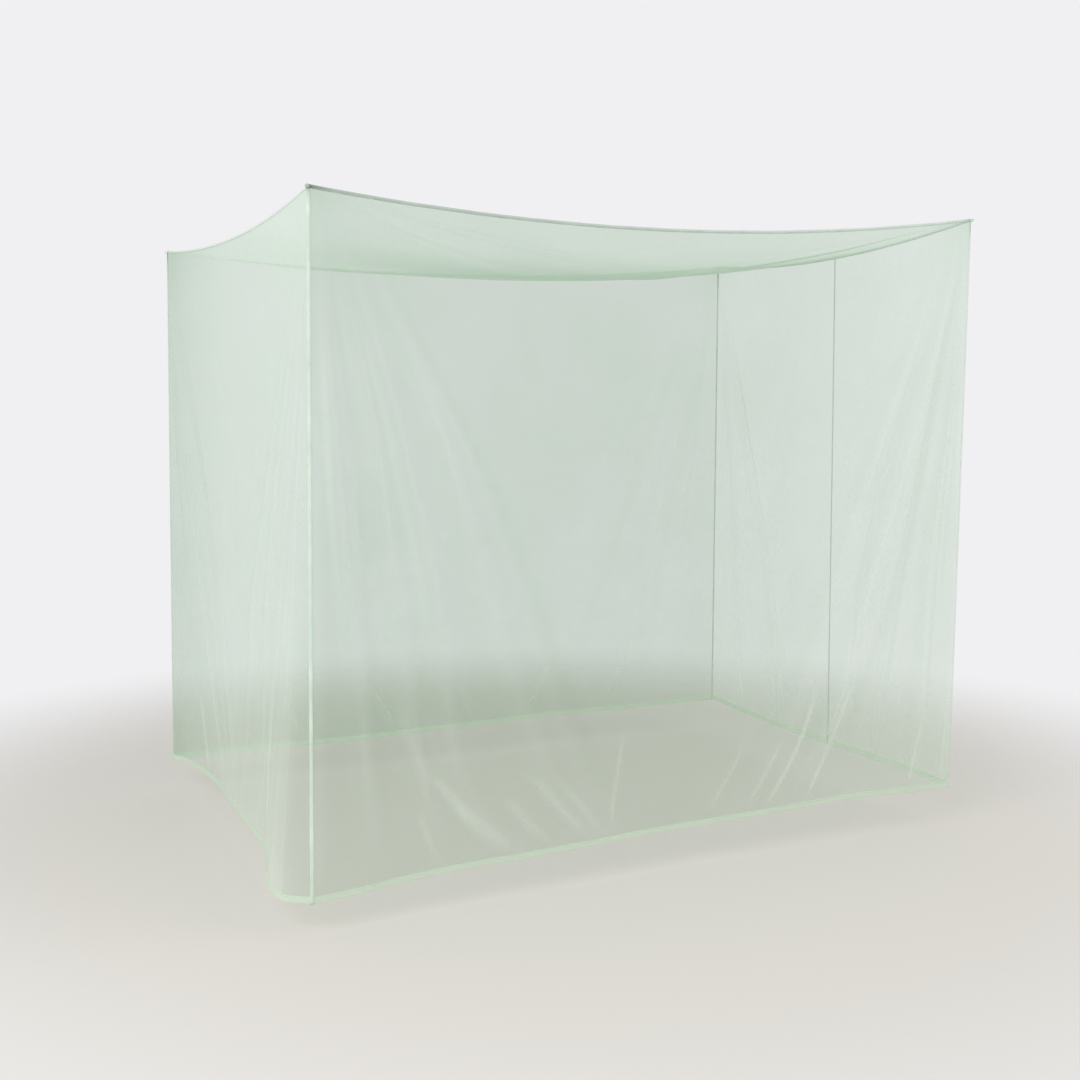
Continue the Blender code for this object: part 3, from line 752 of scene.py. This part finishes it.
clothForm = {
    "columns": {"front": 640, "right": 180, "back": 400, "left": 560},
    "rows": {"front": 130, "right": 130, "back": 110, "left": 130},
    "rowCrowding": 0.5,  # the rows lie closer towards the hem, where the short creases are
    "topCrowding": 2.0,
    "hemCrowding": 0.45,
    "columnSpread": 1.3,
    "tuck": 4 * mm,  # how far the cloth goes up inside the binding
    "sideTuck": 1 * mm,  # from the corner's line, inside its tape
    "hemHeight": 17 * mm,
    "hemHalf": 1.1 * mm,  # half the thickness of the turned hem
    "hemStep": 1.5,  # from the sheet's last row to the hem, in half thicknesses of the hem
    "turnPoints": 7,  # round the hem's lower edge
    "facePoints": 4,  # down each face of the hem
    "turnEnd": 0.6 * mm,  # the turned edge ends this far below the hem's top,
    "turnOff": 0.2,  # and this many half thicknesses off the wall's own face
    "roofColumns": 240,
    "roofRows": 170,
    "roofCrowding": 0.35,
}


def columnPlaces(count, drop):  # the columns crowd towards both ends, most of all at the top
    t = np.linspace(0, 1, count + 1)
    near = np.minimum(t, 1 - t)
    crowded = 0.5 * (2 * near) ** clothForm["topCrowding"]
    spread = near - clothForm["hemCrowding"] * np.sin(2 * np.pi * near) / (2 * np.pi)
    level = np.clip(drop, 0, 1)[:, None] ** (1 / clothForm["columnSpread"])
    place = crowded + (spread - crowded) * level
    return np.where(t <= 0.5, place, 1 - place)


# for each row: its drop, how far it lies off the cloth's face, and whether it is hem
def wallRows(count):
    drop, tall, half = netCut["drop"], clothForm["hemHeight"], clothForm["hemHalf"]
    hemTop = 1 - tall / drop
    share = np.linspace(0, 1, count + 1)
    share = share + clothForm["rowCrowding"] * np.sin(np.pi * share) / np.pi
    bodyEnd = hemTop - clothForm["hemStep"] * half / drop
    body = -clothForm["tuck"] / drop + (bodyEnd + clothForm["tuck"] / drop) * share
    turn = np.linspace(0, np.pi, clothForm["turnPoints"])
    foldAt = 1 - half / drop
    outside = np.linspace(hemTop, foldAt, clothForm["facePoints"])[:-1]
    inside = np.linspace(foldAt, hemTop + clothForm["turnEnd"] / drop, clothForm["facePoints"])[1:]
    drops = np.concatenate([body, outside, foldAt + np.sin(turn) * half / drop, inside, [hemTop]])
    off = -clothForm["turnOff"] * half
    outs = [0 * body, half + 0 * outside, half * np.cos(turn), -half + 0 * inside, [off]]
    hem = np.concatenate([0 * body, 1 + 0 * outside, 1 + 0 * turn, 1 + 0 * inside, [1]])
    return drops, np.concatenate(outs), hem


# the cloth between two edges, each a function of the drop
def wallNet(name, wall, fromEdge, toEdge):
    drops, outs, hem = wallRows(clothForm["rows"][wall])
    start, end = fromEdge(drops)[:, None], toEdge(drops)[:, None]
    u = start + (end - start) * columnPlaces(clothForm["columns"][wall], drops)
    points, gather, pale = wallPoints(wall, u, drops[:, None] + 0 * u, outs[:, None])
    gather = gather + gatherShare["hem"] * hem[:, None]
    pale = pale + paleShare["hem"] * hem[:, None]
    steps = np.linalg.norm(np.diff(points, axis=0), axis=-1)
    down = np.concatenate([np.zeros((1, u.shape[1])), np.cumsum(steps, axis=0)])
    flat = np.stack([u * wallLength(wall), -down], axis=-1)
    return clothGrid(name, points, flat, gather, pale)


def wholeWall(wall):
    side = clothForm["sideTuck"] / wallLength(wall)
    return wallNet(f"{wall}WallNet", wall, lambda drop: side + 0 * drop, lambda drop: 1 - side + 0 * drop)


def seamPlace(drop):
    return trim["seamAtTop"] + (trim["seamAtHem"] - trim["seamAtTop"]) * drop


def rightCloths():
    side = clothForm["sideTuck"] / wallLength("right")
    front = wallNet("rightWallFrontNet", "right", lambda drop: side + 0 * drop,
                    lambda drop: seamPlace(drop) - side)
    back = wallNet("rightWallBackNet", "right", lambda drop: seamPlace(drop) + side,
                   lambda drop: 1 - side + 0 * drop)
    return front, back


def roofEdge(wall, u):
    inset = trim["gap"]
    clear = inset / wallLength(wall)
    return topEdge(wall, clear + u * (1 - 2 * clear)) - outward(wall) * inset


def roofRelief(s, t):  # lift in mm, gathered cloth and painted paleness (painted light)
    size = np.array((netCut["length"], netCut["width"]))
    place = np.stack([s, t], axis=-1) * size
    lift, gather, pale = 0, 0, 0
    for fold in roofShape["folds"]:
        start, end = np.array(fold["path"]) * size
        reach = end - start
        away = place - start
        along = away @ reach / (reach @ reach)
        aside = np.linalg.norm(away - along[..., None] * reach, axis=-1)
        width = roofShape["topWidth"] + (1 - roofShape["topWidth"]) * smooth(along)
        fade, gone = roofShape["foldFade"]
        grown = smooth(along / roofShape["foldStart"]) * smooth((gone - along) / (gone - fade))
        ridge = grown * swell(aside, fold["half"] * mm * width)
        lift = lift + fold["depth"] * ridge
        isFold = fold["half"] >= roofShape["creaseHalf"]
        gather = gather + fold.get("gather", gatherShare["fold" if isFold else "crease"]) * ridge
        pale = pale + fold.get("pale", roofShape["paleShare"] * paleShare["fold"] * isFold) * ridge
    slack = roofShape["slack"]
    back = smooth((t - slack["from"]) / (slack["to"] - slack["from"])) * smooth(s / slack["leftEnd"])
    pale = pale + slack["paleFront"] + (slack["paleBack"] - slack["paleFront"]) * back
    rim = 1 - smooth((1 - t) / slack["rim"])
    left = (1 - smooth(s / slack["leftEnd"])) * smooth((t - slack["from"]) / slack["leftEnd"])
    gather = gather + slack["gather"] * back * (1 - rim) + slack["gatherLeft"] * left
    return lift, gather, pale + slack["paleRim"] * rim * back + slack["paleLeft"] * left


def roofPlaces(count):  # crowded towards both edges
    x = np.linspace(0, 1, count + 1)
    return x - clothForm["roofCrowding"] * np.sin(2 * np.pi * x) / (2 * np.pi)


def roofNet():
    columns, rows = roofPlaces(clothForm["roofColumns"]), roofPlaces(clothForm["roofRows"])
    s, t = np.meshgrid(columns, rows, indexing="ij")
    a, b = s[..., None], t[..., None]
    front, back = roofEdge("front", s), roofEdge("back", 1 - s)
    left, right = roofEdge("left", 1 - t), roofEdge("right", t)
    frontEnds, backEnds = roofEdge("front", np.array((0.0, 1.0))), roofEdge("back", np.array((1.0, 0.0)))
    ends = (
        frontEnds[0] * (1 - a) * (1 - b) + frontEnds[1] * a * (1 - b)
        + backEnds[0] * (1 - a) * b + backEnds[1] * a * b
    )
    points = front * (1 - b) + back * b + left * (1 - a) + right * a - ends
    inside = 16 * s * (1 - s) * t * (1 - t)  # 0 at the edges and 1 in the middle
    lift, gather, pale = roofRelief(s, t)
    lift = lift * np.minimum(roofShape["rimGrow"] * inside, 1)
    points[..., 2] += (lift - roofShape["dip"] * inside) * mm
    flat = np.stack([s * netCut["length"], t * netCut["width"]], axis=-1)
    return clothGrid("roofNet", points, flat, gather, pale)


roof = roofNet()
frontWall, backWall, leftWall = wholeWall("front"), wholeWall("back"), wholeWall("left")
rightFront, rightBack = rightCloths()
print("cloth made")


trimForm = {
    # half a folded tape's section, from its lower edge up: (aside, up) in mm
    "bindingHalf": ((0.9, -4.5), (1.5, -4.3), (1.55, -3.3), (1.2, -2.7), (1.65, -2.0), (2.0, 0.2),
                    (1.9, 2.2), (1.4, 3.6), (0.6, 4.4)),
    "bindingStep": 6 * mm,
    "unevenUp": 0.175,  # mm
    "unevenWaves": ((1, 47, 0), (0.7, 29, 1.3), (0.4, 13, 2.1)),  # share, mm for a sixth of a wave, start
    "dark": {"front": 1, "right": 0, "back": 0, "left": 0.5},  # how dark a binding's first end is
    "darkEnd": 60,  # mm from a corner over which the tape's layers overlap and look darker
    "darkStart": 0.3,  # how much darker a binding's first end is than its last
    "tapeSides": 12,
    "tapeStep": 8 * mm,
    # mm; a corner tape, over its stitches: it has opened out at the front left
    "tapeSpread": {"front_left": 10, "front_right": 7, "back_right": 6, "back_left": 6},
    "tapeFlat": 0.4,  # how thick it stands, as a share of that
    "tapeDarkEnd": 22,  # mm
    "tapeUneven": 0.10,  # how much a corner tape's width changes, as a share
    "tapeWaves": ((31, 0), (83, 0.8)),  # mm for a sixth of each wave of that, and its start
    "tapeTopIn": 1 * mm,  # how far a corner tape reaches up between the bindings
    "tapeHemUp": 0.5 * mm,
    "seamRows": 260,
    "tabCuts": 4,
    "tabBulge": 0.35,
    "tabEase": 0.5,  # how far each of its two smoothings goes
}


def sweep(name, places, sides, ups, section, tone, material):  # a closed strip along places
    places, sides, ups = np.asarray(places), np.asarray(sides), np.asarray(ups)
    section = np.asarray(section) * mm
    count, ring = len(places), len(section)
    points = places[:, None] + sides[:, None] * section[None, :, :1] + ups[:, None] * section[None, :, 1:]
    steps = np.linalg.norm(np.diff(places, axis=0), axis=-1)
    along = np.concatenate([[0], np.cumsum(steps)])
    index = np.arange(count * ring).reshape(count, ring)
    following = np.roll(index, -1, axis=1)
    quads = np.stack([index[:-1], index[1:], following[1:], following[:-1]], axis=-1).reshape(-1, 4)
    faces = quads.tolist() + [index[0].tolist(), index[-1][::-1].tolist()]
    around = np.concatenate([[0], np.cumsum(np.linalg.norm(np.diff(section, axis=0), axis=-1))])
    flat = np.stack([np.repeat(along, ring), np.tile(around, count)], axis=-1)
    piece = addPiece(name, points.reshape(-1, 3).tolist(), faces, material)
    return addTone(piece, flat, gather=np.repeat(tone, ring))


def roofBinding(wall, material):
    length = wallLength(wall)
    clear = (trim["tabInside"] + trim["gap"]) / length
    count = round(length / trimForm["bindingStep"])
    u = clear + (1 - 2 * clear) * np.linspace(0, 1, count + 1)
    along = u * length / mm
    places = topEdge(wall, u)
    uneven = sum(share * np.sin(along / reach + start) for share, reach, start in trimForm["unevenWaves"])
    places = places + up * (uneven * trimForm["unevenUp"] * mm)[:, None]
    half = trimForm["bindingHalf"]
    section = list(half) + [(-x, y) for x, y in reversed(half)]
    tone = trimForm["dark"][wall] * (np.exp(-along / trimForm["darkEnd"]) + trimForm["darkStart"] * (1 - u))
    sides = np.tile(outward(wall), (len(u), 1))
    ups = np.tile(up, (len(u), 1))
    return sweep(f"{wall}RoofBinding", places, sides, ups, section, tone, material)


def cornerName(corner):
    first, second = corner.split("_")
    return first + second.capitalize()


def cornerLine(corner, share):  # places down the corner's tape, and the way straight out from it
    top = cornerPoint(corner, "top") - up * (trim["bindingHeight"] / 2 - trimForm["tapeTopIn"])
    hem = cornerPoint(corner, "hem") + up * trimForm["tapeHemUp"]
    sideX, sideY = corners[corner]["side"]
    return top + (hem - top) * share[:, None], np.array((sideX, sideY, 0)) / math.sqrt(2)


def cornerTape(corner, material):
    t = np.linspace(0, 1, round(netCut["drop"] / trimForm["tapeStep"]) + 1)
    places, ahead = cornerLine(corner, t)
    down = t * netCut["drop"] / mm
    uneven = trimForm["tapeUneven"]
    for reach, start in trimForm["tapeWaves"]:
        uneven = uneven * np.sin(down / reach + start)
    pinch = (1 + uneven)[:, None]
    ring = np.linspace(0, 2 * np.pi, trimForm["tapeSides"], endpoint=False)
    half = trimForm["tapeSpread"][corner] / 2
    section = np.stack([half * np.cos(ring), trimForm["tapeFlat"] * half * np.sin(ring)], axis=-1)
    tone = np.exp(-down / trimForm["tapeDarkEnd"])
    return sweep(f"{cornerName(corner)}CornerTape", places, np.cross(ahead, up) * pinch, ahead * pinch,
                 section, tone, material)


def seamTape():
    count = trimForm["seamRows"]
    drops = np.linspace(0, 1, count)
    points = wallPoints("right", seamPlace(drops), drops)[0]
    start, end = wallEnds("right", "top")
    along = (end - start) / np.linalg.norm(end - start)
    ring = np.linspace(0, 2 * np.pi, trimForm["tapeSides"], endpoint=False)
    halfWidth, halfThickness = trim["seamWidth"] / 2 / mm, trim["seamThickness"] / 2 / mm
    section = np.stack([halfWidth * np.cos(ring), halfThickness * np.sin(ring)], axis=-1)
    alongs, outs = np.tile(along, (count, 1)), np.tile(outward("right"), (count, 1))
    # the seam tape takes the middle lit copy of the tape: painted light
    return sweep("rightWallSeamTape", points, alongs, outs, section, 0 * drops, tapeCloths["middle"])


def cornerTab(corner, material):
    sideX, sideY = corners[corner]["side"]
    wide = trim["tabOutside"] + trim["tabInside"]
    below, above = trim["bindingHeight"] / 2, trim["tabRise"]
    shift = (trim["tabOutside"] - trim["tabInside"]) / 2
    middle = cornerPoint(corner, "top") + np.array((sideX * shift, sideY * shift, (above - below) / 2))
    bpy.ops.object.select_all(action="DESELECT")
    bpy.ops.mesh.primitive_cube_add(size=1, location=middle)
    tab = bpy.context.active_object
    tab.name = f"{cornerName(corner)}Tab"
    tab.scale = (wide, wide, below + above)
    bpy.ops.object.transform_apply(location=True, rotation=False, scale=True)
    bpy.ops.object.mode_set(mode="EDIT")
    bpy.ops.mesh.select_all(action="SELECT")
    bpy.ops.mesh.subdivide(number_cuts=trimForm["tabCuts"], smoothness=trimForm["tabBulge"])
    bpy.ops.mesh.vertices_smooth(factor=trimForm["tabEase"], repeat=2)
    bpy.ops.object.mode_set(mode="OBJECT")
    smoother = tab.modifiers.new("rounding", "SUBSURF")
    smoother.levels = 1
    smoother.render_levels = 1
    bpy.ops.object.modifier_apply(modifier=smoother.name)
    bpy.ops.object.shade_smooth()
    tab.data.uv_layers.active.name = "cloth"
    tab.data.materials.append(material)
    return tab


stitchForm = {
    "pitch": 5 * mm,
    "length": 3.6 * mm,
    "thick": 0.9 * mm,
    "bindingDown": 2.7 * mm,  # from the middle of a binding to its row of stitches
    "hemDown": 2.5 * mm,  # from the top of the turned hem to its row
    "clear": 12 * mm,  # a row stops this far from its ends
    # from the middle of each piece out to its stitches
    "bindingOut": 1.25 * mm,
    "hemOut": 0.1 * mm,  # from the hem's face
    "tapeOut": 2.0 * mm,
    "seamOut": 1.5 * mm,
    "seamClear": 0.004,  # share of the right-hand wall's length that its seam takes from the hem's row
    "waist": 0.45,  # where a grain is thickest, as a share of its half length
}


# small grains of thread, half sunk in the cloth; each row is its places and way out
def stitchRows(name, rows):
    points, faces = [], []
    ring = ((1, 0), (0, 1), (-1, 0), (0, -1))  # a grain is a tip, two of these rings and a tip
    around = [(k, (k + 1) % 4) for k in range(4)]
    grain = [(0, 1 + a, 1 + b) for a, b in around] + [(9, 5 + b, 5 + a) for a, b in around]
    grain += [(1 + a, 5 + a, 5 + b, 1 + b) for a, b in around]
    half, thick, waist = stitchForm["length"] / 2, stitchForm["thick"] / 2, stitchForm["waist"]
    for places, outs in rows:
        along = np.gradient(places, axis=0)
        along = along / np.linalg.norm(along, axis=1)[:, None]
        aside = np.cross(along, outs)
        knots = [places - along * half]
        for end in (-waist, waist):
            knots += [places + along * half * end + (aside * a + outs * b) * thick for a, b in ring]
        knots.append(places + along * half)
        for first in range(len(points), len(points) + len(knots) * len(places), len(knots)):
            faces.extend(tuple(first + knot for knot in face) for face in grain)
        points.extend(np.stack(knots, axis=1).reshape(-1, 3).tolist())
    return addPiece(name, points, faces, stitchThread)


def stitchPlaces(length):  # shares of a length, one pitch apart
    count = int((length - 2 * stitchForm["clear"]) / stitchForm["pitch"])
    return 0.5 + (np.arange(count) - (count - 1) / 2) * stitchForm["pitch"] / length


def bothSides(middle, side, out):  # a row on each side of a strip's middle
    return [(middle + side * way * out, side * way + 0 * middle) for way in (1, -1)]


def bindingStitches(wall):
    middle = topEdge(wall, stitchPlaces(wallLength(wall))) - up * stitchForm["bindingDown"]
    return stitchRows(f"{wall}BindingStitches", bothSides(middle, outward(wall), stitchForm["bindingOut"]))


def hemStitches(wall):
    u = stitchPlaces(wallLength(wall))
    if wall == "right":
        u = u[np.abs(u - trim["seamAtHem"]) > stitchForm["seamClear"]]
    drop = 1 - (clothForm["hemHeight"] - stitchForm["hemDown"]) / netCut["drop"] + 0 * u
    out = clothForm["hemHalf"] + stitchForm["hemOut"]
    side = outward(wall)
    rows = []
    for way in (1, -1):
        places = wallPoints(wall, u, drop, way * out + 0 * u)[0]
        rows.append((places, way * side + 0 * places))
    return stitchRows(f"{wall}HemStitches", rows)


def tapeStitches(corner):
    places, ahead = cornerLine(corner, stitchPlaces(netCut["drop"]))
    rows = [(places + ahead * stitchForm["tapeOut"], ahead + 0 * places)]
    return stitchRows(f"{cornerName(corner)}TapeStitches", rows)


def seamStitches():
    drops = stitchPlaces(netCut["drop"])
    middle = wallPoints("right", seamPlace(drops), drops)[0]
    return stitchRows("rightWallSeamStitches", bothSides(middle, outward("right"), stitchForm["seamOut"]))


# painted light and shade: each binding, corner tape and tab takes the lighter or darker copy of the one
# tape that suits how light falls on it
bindingTapes = {"front": "deep", "right": "middle", "back": "faint", "left": "faint"}
cornerTapes = {"front_left": "white", "front_right": "pale", "back_right": "middle", "back_left": "pale"}
tabTapes = {"front_left": "knot", "front_right": "white", "back_right": "middle", "back_left": "pale"}
bindings = {wall: roofBinding(wall, tapeCloths[look]) for wall, look in bindingTapes.items()}
tapes = {corner: cornerTape(corner, tapeCloths[look]) for corner, look in cornerTapes.items()}
tabs = {corner: cornerTab(corner, tapeCloths[look]) for corner, look in tabTapes.items()}
seam = seamTape()
print("bindings, tapes and tabs made")

bindingThreads = {wall: bindingStitches(wall) for wall in walls}
hemThreads = {wall: hemStitches(wall) for wall in walls}
tapeThreads = {corner: tapeStitches(corner) for corner in corners}
seamThread = seamStitches()
print("stitches made")


# The pieces ride on the frame, each in place of its node.
dressed = {
    "roof_panel": (roof, "net_cloth"),
    "front_wall": (frontWall, "net_cloth"),
    "back_wall": (backWall, "net_cloth"),
    "left_wall": (leftWall, "net_cloth"),
    "right_wall_front_cloth": (rightFront, "net_cloth"),
    "right_wall_back_cloth": (rightBack, "net_cloth"),
    "right_wall_seam_tape": (seam, "binding_tape"),
}
dressed.update({f"{wall}_roof_binding": (piece, "binding_tape") for wall, piece in bindings.items()})
dressed.update({f"{corner}_corner_tape": (piece, "binding_tape") for corner, piece in tapes.items()})
dressed.update({f"{corner}_tab": (piece, "binding_tape") for corner, piece in tabs.items()})
for node, (piece, slot) in dressed.items():
    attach(piece, "root")
    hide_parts(node)

for thread in (*bindingThreads.values(), *hemThreads.values(), *tapeThreads.values(), seamThread):
    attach(thread, "root")


print("pieces placed on the frame")
